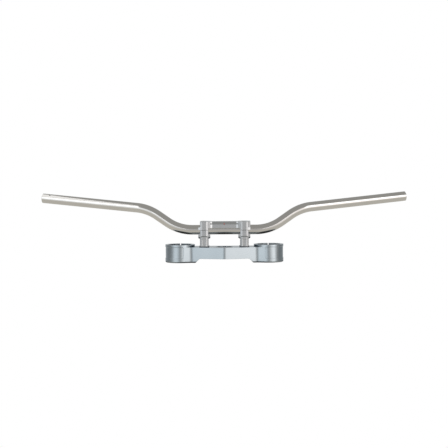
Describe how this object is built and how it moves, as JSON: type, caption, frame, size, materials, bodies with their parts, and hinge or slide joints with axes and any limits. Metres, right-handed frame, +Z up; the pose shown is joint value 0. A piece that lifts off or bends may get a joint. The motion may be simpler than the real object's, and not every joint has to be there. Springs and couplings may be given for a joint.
{
  "type": "motorcycle handlebar kit",
  "caption": "Bent tubular handlebar held by a one-piece top clamp on tall risers, standing on a milled top yoke with split fork clamp rings and a stem bore.",
  "frame": {"origin": "bottom centre of the whole kit's bounding box, level with the underside of the fork rings", "axes": "+Z up along the fork axes, +X across the bike towards the rider's left, +Y to the rear of the bike, where the grips sweep to"},
  "size_m": [0.8562, 0.1226, 0.1583],
  "materials": {
    "yoke_metal": "fine blasted and clear anodised, cool silver",
    "bar_metal": "polished along the tube, warm silver",
    "clamp_metal": "milled and lightly brushed, neutral silver",
    "screw_metal": "stainless screws and washers",
    "pad_metal": "dark anodised",
    "inlay_paint": "red enamel"
  },
  "bodies": {
    "yoke_and_clamp": {"top_yoke": "yoke_metal", "top_clamp": "clamp_metal", "clamp_inlay": "inlay_paint", "riser_left": "clamp_metal", "riser_right": "clamp_metal", "riser_pad_left": "pad_metal", "riser_pad_right": "pad_metal", "clamp_bolt_front_left": "screw_metal", "clamp_bolt_rear_left": "screw_metal", "clamp_bolt_front_right": "screw_metal", "clamp_bolt_rear_right": "screw_metal", "clamp_washer_front_left": "screw_metal", "clamp_washer_rear_left": "screw_metal", "clamp_washer_front_right": "screw_metal", "clamp_washer_rear_right": "screw_metal", "riser_bolt_left": "screw_metal", "riser_bolt_right": "screw_metal", "riser_bolt_washer_left": "screw_metal", "riser_bolt_washer_right": "screw_metal", "riser_dowel_left": "screw_metal", "riser_dowel_right": "screw_metal", "pinch_bolt_lower_left": "screw_metal", "pinch_bolt_upper_left": "screw_metal", "pinch_bolt_lower_right": "screw_metal", "pinch_bolt_upper_right": "screw_metal"},
    "bar": {"handlebar": "bar_metal"}
  },
  "joints": [
    {"name": "bar_roll", "type": "hinge", "parent": "yoke_and_clamp", "child": "bar", "pos_m": [0, -0.02029, 0.0748], "axis": [1, 0, 0], "range_deg": [-15, 15]}
  ]
}
